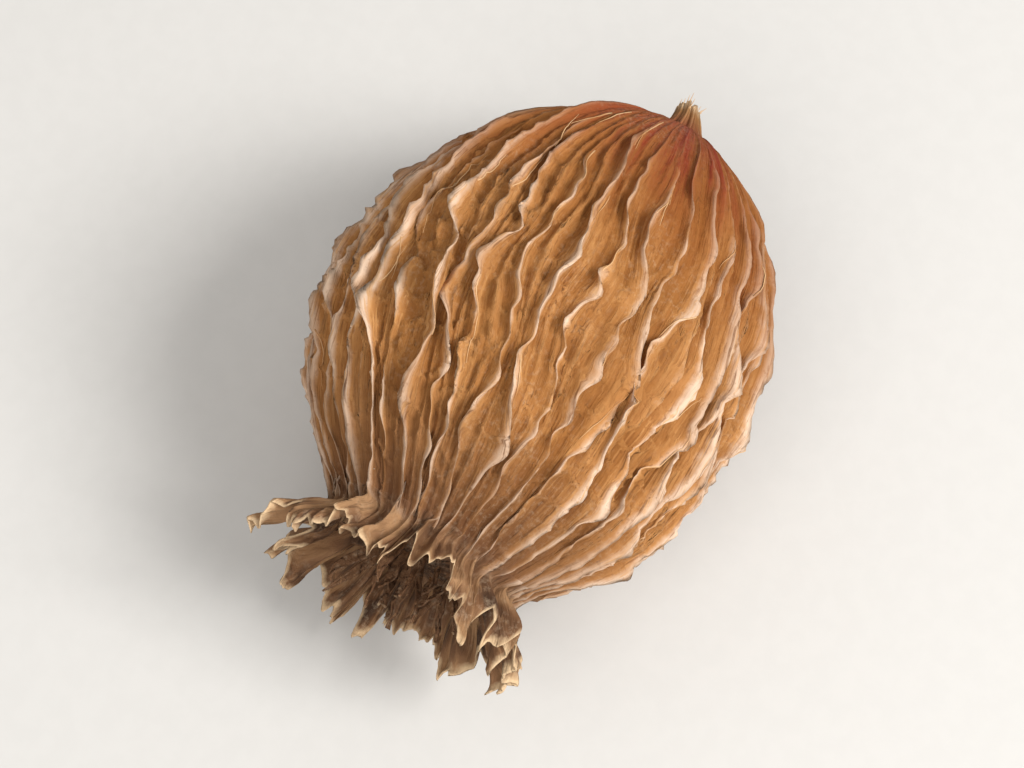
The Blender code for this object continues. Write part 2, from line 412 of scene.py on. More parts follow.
def husk_relief(number, share, along):
    """How far the dried skin stands out here, and how far it is pushed round the husk."""
    grain = grain_place(number, share, along)
    room = min(skin_radius(along) / HUSK_RADIUS, 1)
    ribs = rib_relief(number, share, along)
    valley = 1 - min(ribs.ridge * VALLEY_EDGE, 1)
    late = puckered(number, share, along)
    minor = minor_rib(number, share, along)
    stria, vein, wrinkle = (fold_at(kind, grain) for kind in (STRIA, VEIN, WRINKLE))
    pucker = fold_at(PUCKER, grain) * late
    folds = VEIN.height * vein + WRINKLE.height * wrinkle * (1 + late) / 2 + PUCKER.height * pucker
    height = ribs.height + MINOR_HEIGHT * minor + STRIA.height * stria + wave_at(SAG, grain)
    height += folds * mix(CREST_FOLDS, 1, valley)
    height = height * room + wave_at(GRIT, grain)
    # The fold value pales the colour where folds and low ribs stand up: painted highlight.
    fold = STRIA.shade * stria + VEIN.shade * vein + WRINKLE.shade * wrinkle + PUCKER.shade * pucker
    return Relief(height, ribs.sideways * room, ribs.ridge, min(fold + MINOR_SHADE * minor, MOST_FOLD))


def husk_spot(number, share, along, inward=0.0):
    """A point of the dried husk, with what its colour needs."""
    relief = husk_relief(number, share, along)
    radius = skin_radius(along) - inward
    angle = angle_between(number, share, along)
    angle += relief.sideways / radius * (1 - pressed(angle, min(along, 1)))
    x = HUSK_LENGTH * (0.5 - along)
    point = round_pod(angle, min(along, 1), x, radius, relief.height)
    grain = grain_place(number, share, along, relief.height)
    return Spot(on_floor(point), relief.ridge, relief.fold, grain, along)


def on_floor(point):
    """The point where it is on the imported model, and never below the surface that the pod lies on."""
    placed = point + TO_FLOOR
    return Vector((placed.x, placed.y, max(placed.z, 0)))


def crowd(share):
    """The same share from 0 to 1, moved towards the nearer end."""
    return share - CROWDED * math.sin(FULL_TURN * share) / FULL_TURN


def new_piece(name, points, faces):
    """A new piece with these points and faces, smoothly shaded."""
    mesh = bpy.data.meshes.new(name)
    mesh.from_pydata(points, [], faces)
    mesh.shade_smooth()
    piece = bpy.data.objects.new(name, mesh)
    bpy.context.scene.collection.objects.link(piece)
    return piece


def keep(piece, name, values):
    """Keep a number at each of the piece's points, for its finish."""
    piece.data.attributes.new(name, "FLOAT", "POINT").data.foreach_set("value", values)


def keep_grain(piece, places):
    """Keep each point's place in the grain, for the fibres."""
    grain = piece.data.attributes.new("grain", "FLOAT_VECTOR", "POINT")
    grain.data.foreach_set("vector", [number for place in places for number in place])


def skin(name, columns, first_pole, last_pole):
    """A closed skin from columns of spots that stand side by side round the pod, with a pole at both ends."""
    rows = len(columns[0])
    spots = [spot for column in columns for spot in column] + [first_pole, last_pole]
    first, last = len(spots) - 2, len(spots) - 1
    faces = []
    for number in range(len(columns)):
        here = number * rows
        there = (number + 1) % len(columns) * rows
        faces.append((first, here, there))
        faces += [(here + row, here + row + 1, there + row + 1, there + row) for row in range(rows - 1)]
        faces.append((here + rows - 1, last, there + rows - 1))
    piece = new_piece(name, [spot.point for spot in spots], faces)
    for kept in ("ridge", "fold", "along"):
        keep(piece, kept, [getattr(spot, kept) for spot in spots])
    keep_grain(piece, [spot.grain for spot in spots])
    return piece


def pole(x, along, y=0.0):
    """The spot in the middle of a skin's end."""
    point = Vector((x, y, 0)) + TO_FLOOR
    return Spot(point, 0, 0, Vector((0, 0, HUSK_LENGTH * along)), along)


def places_round():
    """Every place round the pod: a rib, and a share of the way from it to the next."""
    for number in range(RIB_COUNT):
        for column in range(COLUMNS_A_RIB):
            yield number, crowd(column / COLUMNS_A_RIB)


def husk_columns():
    """The husk from the stalk to the calyx, column by column round it, and on under the collar."""
    steps = [(crowd(ring / (HUSK_RINGS - 1)), 0.0) for ring in range(HUSK_RINGS)]
    steps += [(1 + row * TUCK_STEP / HUSK_LENGTH, row * TUCK_DEPTH) for row in range(1, TUCKED_ROWS + 1)]
    return [[husk_spot(*place, *step) for step in steps] for place in places_round()]


def feed(tree, made, inputs):
    """Give a node its inputs: values, or the sockets that they come from."""
    for name, value in inputs.items():
        if isinstance(value, bpy.types.NodeSocket):
            tree.links.new(value, made.inputs[name])
        else:
            made.inputs[name].default_value = value


def node(tree, kind, inputs=None, **settings):
    """A node with its settings and its inputs."""
    made = tree.nodes.new(kind)
    for setting, value in settings.items():
        setattr(made, setting, value)
    feed(tree, made, inputs or {})
    return made


def kept_value(tree, name, socket="Fac"):
    """A value that the mesh keeps at each of its points."""
    return node(tree, "ShaderNodeAttribute", attribute_name=name).outputs[socket]


def ramp(tree, factor, *stops):
    """Colours, or greys given as one number, at places from 0 to 1."""
    made = node(tree, "ShaderNodeValToRGB", {"Fac": factor})
    elements = made.color_ramp.elements
    while len(elements) < len(stops):
        elements.new(0.5)
    for element, (place, colour) in zip(elements, stops):
        element.position = place
        element.color = (colour,) * 3 + (1,) if isinstance(colour, float) else (*colour, 1)
    return made.outputs["Color"]


MIX_INPUTS = (0, 6, 7)  # where a colour mix takes its factor and its two colours
MIX_OUTPUT = 2


def blend(tree, factor, under, over):
    """Two colours, the second laid over the first where the factor says."""
    colours = [value if isinstance(value, bpy.types.NodeSocket) else (*value, 1) for value in (under, over)]
    inputs = dict(zip(MIX_INPUTS, (factor, *colours)))
    return node(tree, "ShaderNodeMix", inputs, data_type="RGBA").outputs[MIX_OUTPUT]


def maths(tree, operation, first, second):
    """One sum of two numbers, kept from 0 to 1."""
    made = node(tree, "ShaderNodeMath", {0: first, 1: second}, operation=operation, use_clamp=True)
    return made.outputs[0]


def times(tree, first, second):
    """Two numbers multiplied, kept from 0 to 1."""
    return maths(tree, "MULTIPLY", first, second)


def own_place(tree):
    """The place on the piece, in metres."""
    return node(tree, "ShaderNodeTexCoord").outputs["Object"]


def along_grain(tree, stretch):
    """The place in the grain, with its length shrunk, so that noise in it is drawn out along the ribs."""
    inputs = {"Vector": kept_value(tree, "grain", "Vector"), "Scale": (1, 1, stretch)}
    return node(tree, "ShaderNodeMapping", inputs).outputs[0]


def noise_at(tree, place, scale, detail, roughness):
    """Plain noise at this many bumps a metre."""
    inputs = {"Vector": place, "Scale": scale, "Detail": detail, "Roughness": roughness}
    return node(tree, "ShaderNodeTexNoise", inputs).outputs["Fac"]


FIBRE_BEGINS = (0.68, 0.40)  # the noise at which a fibre begins, on bare skin and on covered skin
FIBRE_FULL = (0.76, 0.52)
FIBRE_NOISE = (4.0, 0.62)  # its detail and its roughness
DUST_FLECKS = ((0.50, 0.0), (0.72, 1.0))
DUST_PATCHES = ((0.42, 0.0), (0.68, 1.0))
FLECK_NOISE = (3.0, 0.7)
PATCH_NOISE = (3.0, 0.5)


def new_group(name, inputs, outputs):
    """An empty node group with these inputs and outputs, all numbers."""
    group = bpy.data.node_groups.new(name, "ShaderNodeTree")
    for socket in inputs:
        group.interface.new_socket(socket, in_out="INPUT", socket_type="NodeSocketFloat")
    for socket in outputs:
        group.interface.new_socket(socket, in_out="OUTPUT", socket_type="NodeSocketFloat")
    return group


def make_fibre_group():
    """Fine plant fibres drawn out along the grain: a mask that is 1 on a fibre, and their height."""
    group = new_group("plant_fibres", ("Fineness", "Stretch", "Coverage"), ("Mask", "Height"))
    group.interface.new_socket("Grain", in_out="INPUT", socket_type="NodeSocketVector")
    given = node(group, "NodeGroupInput").outputs
    ways = node(group, "ShaderNodeCombineXYZ", {"X": 1.0, "Y": 1.0, "Z": given["Stretch"]}).outputs[0]
    place = node(group, "ShaderNodeVectorMath", {0: given["Grain"], 1: ways}, operation="MULTIPLY").outputs[0]
    strands = noise_at(group, place, given["Fineness"], *FIBRE_NOISE)
    limits = {"Value": strands}
    for limit, (bare, covered) in (("From Min", FIBRE_BEGINS), ("From Max", FIBRE_FULL)):
        inputs = {"Value": given["Coverage"], "To Min": bare, "To Max": covered}
        limits[limit] = node(group, "ShaderNodeMapRange", inputs).outputs[0]
    mask = node(group, "ShaderNodeMapRange", limits).outputs[0]
    node(group, "NodeGroupOutput", {"Mask": mask, "Height": strands})
    return group


def make_dust_group():
    """Pale dust and scurf, in flecks and soft patches."""
    group = new_group("pale_dust", ("Fleck Size", "Patch Size", "Amount"), ("Mask",))
    given = node(group, "NodeGroupInput").outputs
    place = own_place(group)
    fleck = ramp(group, noise_at(group, place, given["Fleck Size"], *FLECK_NOISE), *DUST_FLECKS)
    patch = ramp(group, noise_at(group, place, given["Patch Size"], *PATCH_NOISE), *DUST_PATCHES)
    node(group, "NodeGroupOutput", {"Mask": times(group, times(group, fleck, patch), given["Amount"])})
    return group


PLANT_FIBRES = make_fibre_group()
PALE_DUST = make_dust_group()


def fibres(tree, fineness, stretch, coverage):
    """The shared fibres, laid in this material along the grain that its mesh keeps."""
    inputs = {"Fineness": fineness, "Stretch": stretch, "Coverage": coverage}
    inputs["Grain"] = kept_value(tree, "grain", "Vector")
    return node(tree, "ShaderNodeGroup", inputs, node_tree=PLANT_FIBRES).outputs


def dust(tree, fleck_size, patch_size, amount):
    """The shared dust, laid in this material."""
    inputs = {"Fleck Size": fleck_size, "Patch Size": patch_size, "Amount": amount}
    return node(tree, "ShaderNodeGroup", inputs, node_tree=PALE_DUST).outputs["Mask"]


def plain_material(name, specular):
    """A new material, its tree and its shader."""
    material = bpy.data.materials.new(name)
    material.use_nodes = True
    shader = material.node_tree.nodes["Principled BSDF"]
    shader.inputs["Specular IOR Level"].default_value = specular
    return material, material.node_tree, shader


VALLEY_BROWN = (0.160, 0.056, 0.013)
FLANK_BROWN = (0.290, 0.120, 0.032)
SHOULDER_BROWN = (0.440, 0.208, 0.072)
CREST_TAN = (0.680, 0.505, 0.375)
# By how far the ribs and folds stand out: the dark end is painted shade in the valleys, the tan end partly
# painted highlight and partly bleached edges.
HUSK_BROWNS_AND_PAINTED_SHADE = ((0.03, VALLEY_BROWN), (0.22, FLANK_BROWN), (0.48, SHOULDER_BROWN), (0.78, CREST_TAN))
FOLD_PAINTED_HIGHLIGHT = 0.30
MOTTLE = (900.0, 5.0, 0.7)  # every noise here has its bumps a metre, its detail and its roughness
MOTTLE_FROM = 0.34
MOTTLE_LIFT = 0.42
MOTTLE_GLOSS = ((0.3, 0.60), (0.7, 0.84))
CRACK_BROWN = (0.070, 0.026, 0.009)
DARK_STRAND = (5200.0, 0.05, 0.36)  # all fibres have their fineness, their stretch and their coverage
DARK_STRAND_SHARE = 0.72
DARK_HAIR = (9500.0, 0.035, 0.50)
DARK_HAIR_SHARE = 0.50
SPECK = (3600.0, 3.0, 0.6)
SPECK_SHOWS = ((0.60, 0.0), (0.68, 1.0))
SPECK_SHARE = 0.35
FIBRE_TAN = (0.570, 0.300, 0.112)
PALE_STRAND = (3400.0, 0.06, 0.40)
PALE_STRAND_SHARE = 0.56
PALE_HAIR = (8000.0, 0.045, 0.46)
PALE_HAIR_SHARE = 0.66
OUT_OF_VALLEY = ((0.02, 0.35), (0.30, 1.0))
DARK_PATCH = (150.0, 3.0, 0.55)
DARK_PATCH_SHOWS = ((0.36, 1.0), (0.58, 0.0))
DARK_PATCH_SHARE = 0.35
LONG_GRAIN = 0.16  # how far the streaks are drawn out along the ribs
DARK_STREAK = (520.0, 4.0, 0.6)
DARK_STREAK_SHOWS = ((0.34, 1.0), (0.52, 0.0))
DARK_STREAK_SHARE = 0.45
STALK_END_BROWN = (0.270, 0.092, 0.018)
STALK_END_REACH = ((0.06, 0.66), (0.28, 0.50), (0.50, 0.0))
STALK_RED = (0.245, 0.034, 0.016)
RED_REACH = ((0.02, 1.0), (0.10, 0.80), (0.24, 0.35), (0.44, 0.0))
RED_SHARE = 0.78
RED_STREAK = (460.0, 4.0, 0.6)
RED_STREAK_SHOWS = ((0.44, 0.06), (0.58, 1.0))
RED_BY_HEIGHT = ((0.24, 1.0), (0.80, 0.48))
RED_BY_FIBRE = ((0.40, 0.35), (0.60, 1.0))
SUNNED_PLACE = (10.4 * MM, -1.3 * MM, 12.2 * MM)  # beside the stalk, where the husk is reddest
SUNNED_SIZE = 6.4 * MM
SUNNED_REACH = ((0.30, 1.0), (1.0, 0.0))
SUNNED_EVENLY = 0.38
CALYX_BROWN = (0.110, 0.050, 0.026)
CALYX_REACH = ((0.80, 0.0), (1.0, 1.0))
CALYX_BY_HEIGHT = ((0.10, 0.80), (0.60, 0.36))
SCURF = (0.640, 0.500, 0.350)
HUSK_DUST = (4200.0, 210.0, 0.20)  # flecks and patches a metre, and how much there is
HUSK_SHEEN = 0.12
CREPE_NOISE = {"Detail": 5.0, "Roughness": 0.6, "Distortion": 0.35}
CRINKLED = (0.42, 1150.0)  # how far they are drawn out, and how many there are a metre
CRACKLED = (0.9, 2600.0)
GRITTY = (7000.0, 3.0, 0.7)
CALM_CRESTS = ((0.30, 1.0), (0.72, 0.18))
HUSK_DEPTHS = (0.13 * MM, 0.05 * MM, 0.12 * MM, 0.05 * MM)  # crinkles, crackles, strands and hairs
GRITTY_DEPTH = 0.02 * MM
GRITTY_SHARE = 0.4


def bumps(tree, *layers):
    """Bumps laid on one another, each with its height, its depth and its strength."""
    normal = None
    for height, depth, strength in layers:
        inputs = {"Height": height, "Distance": depth, "Strength": strength}
        if normal:
            inputs["Normal"] = normal
        normal = node(tree, "ShaderNodeBump", inputs).outputs[0]
    return normal


def crepe(tree, stretch, scale):
    """Fine dry crinkles, as a height from 0 to 1."""
    inputs = {"Vector": along_grain(tree, stretch), "Scale": scale, **CREPE_NOISE}
    return node(tree, "ShaderNodeTexNoise", inputs, noise_type="RIDGED_MULTIFRACTAL").outputs["Fac"]


def lay(tree, colour, over, mask, share):
    """The colour with another laid over it where the mask is, at this share."""
    return blend(tree, times(tree, mask, share), colour, over)


def unevenly(tree, height, mottle):
    """The height with some of the mottling in it, so that a shade doesn't follow it exactly."""
    above = maths(tree, "SUBTRACT", mottle, MOTTLE_FROM)
    return maths(tree, "ADD", height, times(tree, above, MOTTLE_LIFT))


def husk_browns_and_painted_shade(tree, mottle):
    """Painted shade dark in the valleys, brown on the flanks, and tan where the ribs and folds stand up:
    there partly painted highlight and partly bleached edges.
    """
    fold = times(tree, kept_value(tree, "fold"), FOLD_PAINTED_HIGHLIGHT)
    height = maths(tree, "ADD", kept_value(tree, "ridge"), fold)
    return ramp(tree, unevenly(tree, height, mottle), *HUSK_BROWNS_AND_PAINTED_SHADE)


def husk_fibres(tree, colour, strand, hair):
    """Dark fibres and specks sunk in the skin, and pale fibres where it isn't in a valley."""
    colour = lay(tree, colour, CRACK_BROWN, fibres(tree, *DARK_STRAND)["Mask"], DARK_STRAND_SHARE)
    colour = lay(tree, colour, VALLEY_BROWN, fibres(tree, *DARK_HAIR)["Mask"], DARK_HAIR_SHARE)
    speck = ramp(tree, noise_at(tree, own_place(tree), *SPECK), *SPECK_SHOWS)
    colour = lay(tree, colour, VALLEY_BROWN, speck, SPECK_SHARE)
    raised = ramp(tree, kept_value(tree, "ridge"), *OUT_OF_VALLEY)
    for pale, share in ((strand, PALE_STRAND_SHARE), (hair, PALE_HAIR_SHARE)):
        colour = lay(tree, colour, FIBRE_TAN, times(tree, pale["Mask"], share), raised)
    return colour


def darker_places(tree, colour):
    """Soft darker patches, and dark streaks along the ribs."""
    patch = ramp(tree, noise_at(tree, own_place(tree), *DARK_PATCH), *DARK_PATCH_SHOWS)
    colour = lay(tree, colour, FLANK_BROWN, patch, DARK_PATCH_SHARE)
    streak = ramp(tree, noise_at(tree, along_grain(tree, LONG_GRAIN), *DARK_STREAK), *DARK_STREAK_SHOWS)
    return lay(tree, colour, FLANK_BROWN, streak, DARK_STREAK_SHARE)


def stalk_blush(tree, colour, strand):
    """Browner towards the stalk and red round it in streaks, most of all in one place beside it."""
    along = kept_value(tree, "along")
    colour = blend(tree, ramp(tree, along, *STALK_END_REACH), colour, STALK_END_BROWN)
    streak = ramp(tree, noise_at(tree, along_grain(tree, LONG_GRAIN), *RED_STREAK), *RED_STREAK_SHOWS)
    red = times(tree, times(tree, ramp(tree, along, *RED_REACH), streak), RED_SHARE)
    away = node(tree, "ShaderNodeVectorMath", {0: own_place(tree), 1: SUNNED_PLACE}, operation="DISTANCE")
    sunned = ramp(tree, maths(tree, "DIVIDE", away.outputs["Value"], SUNNED_SIZE), *SUNNED_REACH)
    sunned = times(tree, sunned, ramp(tree, strand["Height"], *RED_BY_FIBRE))
    sunned = times(tree, sunned, maths(tree, "ADD", streak, SUNNED_EVENLY))
    low_down = ramp(tree, kept_value(tree, "ridge"), *RED_BY_HEIGHT)
    return lay(tree, colour, STALK_RED, maths(tree, "MAXIMUM", red, sunned), low_down)


def husk_normal(tree, strand, hair):
    """Fine crinkles, fibres and grit, calmer on the crests, where the skin is drawn thin."""
    heights = (crepe(tree, *CRINKLED), crepe(tree, *CRACKLED), strand["Height"], hair["Height"])
    calmer = ramp(tree, kept_value(tree, "ridge"), *CALM_CRESTS)
    layers = [(height, depth, calmer) for height, depth in zip(heights, HUSK_DEPTHS)]
    return bumps(tree, *layers, (noise_at(tree, own_place(tree), *GRITTY), GRITTY_DEPTH, GRITTY_SHARE))


def husk_material():
    """Dried husk: painted shade in the valleys, tan where the ribs stand up (partly painted highlight, partly
    bleached edges), and reddish at the stalk.
    """
    material, tree, shader = plain_material("dried_husk_skin", HUSK_SHEEN)
    mottle = noise_at(tree, own_place(tree), *MOTTLE)
    strand, hair = fibres(tree, *PALE_STRAND), fibres(tree, *PALE_HAIR)
    colour = husk_fibres(tree, husk_browns_and_painted_shade(tree, mottle), strand, hair)
    colour = stalk_blush(tree, darker_places(tree, colour), strand)
    # Darker towards the calyx, and more in the valleys than on the crests: the extra darkness in the valleys
    # is painted shade.
    by_height = ramp(tree, kept_value(tree, "ridge"), *CALYX_BY_HEIGHT)
    colour = lay(tree, colour, CALYX_BROWN, ramp(tree, kept_value(tree, "along"), *CALYX_REACH), by_height)
    colour = blend(tree, dust(tree, *HUSK_DUST), colour, SCURF)
    gloss = ramp(tree, mottle, *MOTTLE_GLOSS)
    feed(tree, shader, {"Base Color": colour, "Roughness": gloss, "Normal": husk_normal(tree, strand, hair)})
    return material


def part_of_pod(piece, material):
    """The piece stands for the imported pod, with its finish."""
    piece.data.materials.append(material)
    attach(piece, "root")
    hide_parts("cardamom_pod")


stalk_pole = pole(HUSK_LENGTH / 2 - STALK_POLE_DEPTH, 0)
calyx_pole = pole(-HUSK_LENGTH / 2 - CALYX_POLE_REACH, 1)
husk = skin("husk", husk_columns(), stalk_pole, calyx_pole)
part_of_pod(husk, husk_material())

# The stump of the stalk. The fruit was snapped from its spike, so a short fluted stub is left,
# of the same dried fibre, thinning to a slanting torn end.
STALK_RADIUS = 0.95 * MM
STALK_STEPS = ((0.12, 1.15), (0.50, 0.82), (0.95, 0.62), (1.0, 0.34))  # shares of its length and its radius
STALK_SLANT = 0.45 * MM
STALK_BEND = 0.35 * MM
STALK_FLUTES = 0.22 * MM
STALK_COLUMNS = 156
STALK_ROWS = 34
STALK_ROOT = -0.25  # how far inside the husk it starts, as a share of its length
STALK_ROWS_CROWD = 1.25
STALK_GRAIN = -0.05  # of the husk's grain, from its end up to the torn end
FLUTE_CREST = 2.2
FLUTES = (Wave(0.7, 2.1 * MM, 0.3, 7), Wave(0.5, 0.9 * MM, 0.2, 9))
STALK_TORN = 0.16
STALK_TORN_SIZE = 1.6 * MM
STALK_TORN_SEED = 6
STALK_END_DEPTH = 0.4 * MM
TORN_HOLLOW = 0.80  # where the middle of the torn end lies, as a share of the length
STUMP_BROWN = (0.330, 0.110, 0.040)
STUMP_TAN = (0.820, 0.600, 0.380)
STUMP_BROWNS = ((0.10, STALK_RED), (0.36, STUMP_BROWN), (0.66, SHOULDER_BROWN), (0.92, STUMP_TAN))
FLUTE_HIGHLIGHT_SHARE = 0.6
STUMP_FIBRE = (5200.0, 0.08, 0.45)
STUMP_FIBRE_SHOWS = ((0.1, 0.10), (0.9, 0.60))
STUMP_FIBRE_DEPTH = 0.14 * MM
STUMP_DARK = (7600.0, 0.06, 0.42)
STUMP_DARK_SHARE = 0.6
STUMP_ROUGHNESS = 0.8
DRY_SHEEN = 0.3


def along_steps(steps, place):
    """The value at this place on straight lines between steps."""
    for (before, low), (after, high) in zip(steps, steps[1:]):
        if place <= after:
            share = min(max((place - before) / (after - before), 0), 1)
            return mix(low, high, share)
    return steps[-1][1]


def stalk_spot(column, row):
    """A point of the stump, rows running from its torn end to its root in the husk."""
    turn = column / STALK_COLUMNS
    reach = 1 - (1 - STALK_ROOT) * (row / (STALK_ROWS - 1)) ** STALK_ROWS_CROWD
    grain = grain_place(0, turn * RIB_COUNT, STALK_GRAIN * reach)
    upward = math.sin(FULL_TURN * turn)
    out = STALK_LENGTH * reach - STALK_SLANT * max(reach, 0) * (1 - upward) / 2
    fibre = wander(grain, STALK_TORN_SIZE, STALK_TORN_SEED)
    out -= STALK_TORN * STALK_LENGTH * max(reach, 0) ** 3 * (0.5 + fibre)
    thickness = along_steps(STALK_STEPS, reach)
    flute = sum(abs(wave_at(kind, grain)) for kind in FLUTES)
    radius = STALK_RADIUS * thickness - STALK_FLUTES * (1 - FLUTE_CREST * flute) * min(thickness, 1)
    point = round_pod(FULL_TURN * turn, 0, HUSK_LENGTH / 2 + out, radius, 0)
    point.y += STALK_BEND * max(reach, 0) ** 2
    return Spot(on_floor(point), 0, flute, grain, reach)


def stalk_material():
    """Stalk fibre: dark and reddish where it grows from the husk, pale where it tore."""
    material, tree, shader = plain_material("stalk_fibre", DRY_SHEEN)
    reach = kept_value(tree, "along")
    fibre = fibres(tree, *STUMP_FIBRE)
    colour = ramp(tree, reach, *STUMP_BROWNS)
    # Paler on the crests of the flutes: painted highlight.
    colour = lay(tree, colour, FIBRE_TAN, kept_value(tree, "fold"), FLUTE_HIGHLIGHT_SHARE)
    colour = lay(tree, colour, VALLEY_BROWN, fibres(tree, *STUMP_DARK)["Mask"], STUMP_DARK_SHARE)
    colour = lay(tree, colour, STUMP_TAN, fibre["Mask"], ramp(tree, reach, *STUMP_FIBRE_SHOWS))
    normal = bumps(tree, (fibre["Height"], STUMP_FIBRE_DEPTH, 1.0))
    feed(tree, shader, {"Base Color": colour, "Roughness": STUMP_ROUGHNESS, "Normal": normal})
    return material


stalk_columns = [[stalk_spot(column, row) for row in range(STALK_ROWS)] for column in range(STALK_COLUMNS)]
torn_middle = pole(HUSK_LENGTH / 2 + TORN_HOLLOW * STALK_LENGTH, 1, STALK_BEND)
stump = skin("stalk_stump", stalk_columns, torn_middle, pole(HUSK_LENGTH / 2 - STALK_END_DEPTH, 0))
part_of_pod(stump, stalk_material())

# The collar of the dried calyx. It is what is left of the flower's papery tube: thin, pleated,
# split into strips and frayed along its edge, and it grows out of the calyx end of the husk.
CALYX_LENGTH = 5.4 * MM
CALYX_NOTCH = 0.60
CALYX_LOPSIDED = 0.16
CALYX_WAIST = 3.80 * MM
CALYX_WAIST_AT = 0.3
CALYX_OPENS_AT = 0.2
CALYX_FLARE = 1.45 * MM
CALYX_LEAN = 0.85 * MM
CALYX_PLEAT = 0.50 * MM
LOBE_COUNT = 11
LOBE_ROUNDNESS = 0.6
LOBE_CROWDING = 0.05
LOBE_LENGTHS = (0.74, 1.0)
LOBE_SEED = 8
MOUTH_DEPTH = 0.75
OUTSIDE_ROWS = 64
INSIDE_ROWS = 46
WALL_AT_HUSK = 0.42 * MM
WALL_AT_EDGE = 0.06 * MM
OWN_FROM = 0.34  # how far up it the collar has its own folds, and none of the husk's
CRUMPLE = Wave(0.62 * MM, 1.9 * MM, 0.7, 13)
CRINKLE = Wave(0.16 * MM, 0.70 * MM, 0.5, 14)
EDGE_CURL = Wave(0.60 * MM, 2.2 * MM, 1.0, 15)
SWAY = Wave(0.50 * MM, 2.4 * MM, 0.6, 16)
PAPER_FOLD = Fold(0.20 * MM, 0.80 * MM, 0.40, 3.4, 0.30, 17)
PAPER_VEIN = Fold(0.09 * MM, 0.30 * MM, 0.09, 2.8, 0.35, 19)
FREE_FROM = (0.05, 0.90)  # where the paper is free to crumple, and where its edge curls
CURLED_FROM = (0.65, 1.0)
PAPER_SHADE = 0.20  # how pale flat paper is, and what crinkles and pleats add as painted highlight
CRINKLE_SHADE = 0.6
PLEAT_SHADE = 0.35
FRAY = 0.34
BIG_TEETH = Wave(1.0, 0.80 * MM, 1.0, 11)
FINE_TEETH = Wave(0.8, 0.22 * MM, 1.0, 12)
SLIT_COUNT = 21
SLIT_JITTER = 0.3
SLIT_WIDTH = 0.013  # of the way round
SLIT_DEPTH = (0.14, 0.56)
SLIT_SHAPE = 0.7
SLIT_SEED = 21
WALL_SHAPE = 0.8
COLLAR_POLE_DEPTH = 0.7 * MM
MOUTH_FLOOR_REACH = 0.2
COLLAR_DARK = (0.058, 0.028, 0.014)
COLLAR_BROWN = (0.165, 0.078, 0.035)
COLLAR_TAN = (0.340, 0.190, 0.092)
COLLAR_EDGE = (0.740, 0.540, 0.330)
# By how far the paper stands out: darkest in its dips as painted shade, tan on its pleats and crinkles as
# painted highlight.
COLLAR_BROWNS_AND_PAINTED_SHADE = ((0.12, COLLAR_DARK), (0.50, COLLAR_BROWN), (0.90, COLLAR_TAN))
COLLAR_BLOTCH = (800.0, 4.0, 0.65)
COLLAR_FIBRE = (6200.0, 0.10, 0.42)
COLLAR_FIBRE_SHARE = 0.50
PALE_RIM = ((0.68, 0.0), (0.80, 1.0))
RIM_UNEVEN = 0.40
RIM_SHARE = 0.80
PAPER_FROM = ((0.0, 0.0), (0.26, 1.0))  # where the husk's colour gives way to the paper's
COLLAR_DUST = (3000.0, 420.0, 0.35)
COLLAR_ROUGHNESS = 0.82
COLLAR_CRINKLED = (0.5, 1900.0)
COLLAR_CRINKLE_DEPTH = 0.22 * MM
COLLAR_FIBRE_DEPTH = 0.16 * MM

Lobe = namedtuple("Lobe", "length lean")
Slit = namedtuple("Slit", "turn depth")


def make_lobes():
    """Each lobe of the collar: its share of the full length, and its lean."""
    draw = random.Random(LOBE_SEED)
    return [Lobe(draw.uniform(*LOBE_LENGTHS), draw.uniform(-1, 1)) for _ in range(LOBE_COUNT)]


def make_slits():
    """The tears that run down from the edge."""
    draw = random.Random(SLIT_SEED)
    places = [number + draw.uniform(-SLIT_JITTER, SLIT_JITTER) for number in range(SLIT_COUNT)]
    return [Slit(place / SLIT_COUNT % 1, draw.uniform(*SLIT_DEPTH)) for place in places]


LOBES = make_lobes()
SLITS = make_slits()


def collar_edge(turn):
    """The collar's length and the lean of its edge, at this share of the way round."""
    crowded = (turn + LOBE_CROWDING * math.sin(2 * FULL_TURN * turn)) % 1 * LOBE_COUNT
    lobe = LOBES[int(crowded)]
    tongue = math.sin(math.pi * (crowded % 1)) ** LOBE_ROUNDNESS
    length = CALYX_LENGTH * lobe.length * mix(CALYX_NOTCH, 1, tongue)
    length *= 1 - CALYX_LOPSIDED * (0.5 + 0.5 * math.sin(FULL_TURN * turn))
    place = Vector((math.cos(FULL_TURN * turn), math.sin(FULL_TURN * turn), 0)) * CALYX_WAIST
    length *= 1 - FRAY * (abs(wave_at(BIG_TEETH, place)) + abs(wave_at(FINE_TEETH, place)))
    for slit in SLITS:
        gap = abs((turn - slit.turn + 0.5) % 1 - 0.5) / SLIT_WIDTH
        if gap < 1:
            length *= 1 - slit.depth * (1 - gap) ** SLIT_SHAPE
    return length, CALYX_LEAN * lobe.lean * tongue


def collar_radius(reach, lean):
    """The radius of the collar's outside, reach being the share of its length."""
    at_husk = husk_radius(1)
    waist = (CALYX_WAIST - at_husk) * smooth(0, CALYX_WAIST_AT, reach)
    return at_husk + waist + smooth(CALYX_OPENS_AT, 1, reach) * (CALYX_FLARE + lean)


def paper_height(number, share, reach, place):
    """How far the crumpled paper stands out here, and how much of it is a fold's crest, which its colour
    shows as painted highlight.
    """
    pleat = sum(rib_swell(rib, 1) * foot(distance) for rib, distance in neighbours(number, share))
    crinkle = wave_at(CRINKLE, place)
    fold, vein = fold_at(PAPER_FOLD, place), fold_at(PAPER_VEIN, place)
    height = CALYX_PLEAT * pleat + wave_at(CRUMPLE, place) * smooth(*FREE_FROM, reach)
    height += crinkle + PAPER_FOLD.height * fold + PAPER_VEIN.height * vein
    height += wave_at(EDGE_CURL, place) * smooth(*CURLED_FROM, reach)
    raised = PAPER_SHADE + CRINKLE_SHADE * crinkle / CRINKLE.height + PLEAT_SHADE * pleat
    raised += PAPER_FOLD.shade * fold + PAPER_VEIN.shade * vein
    return height, min(max(raised, 0), 1)


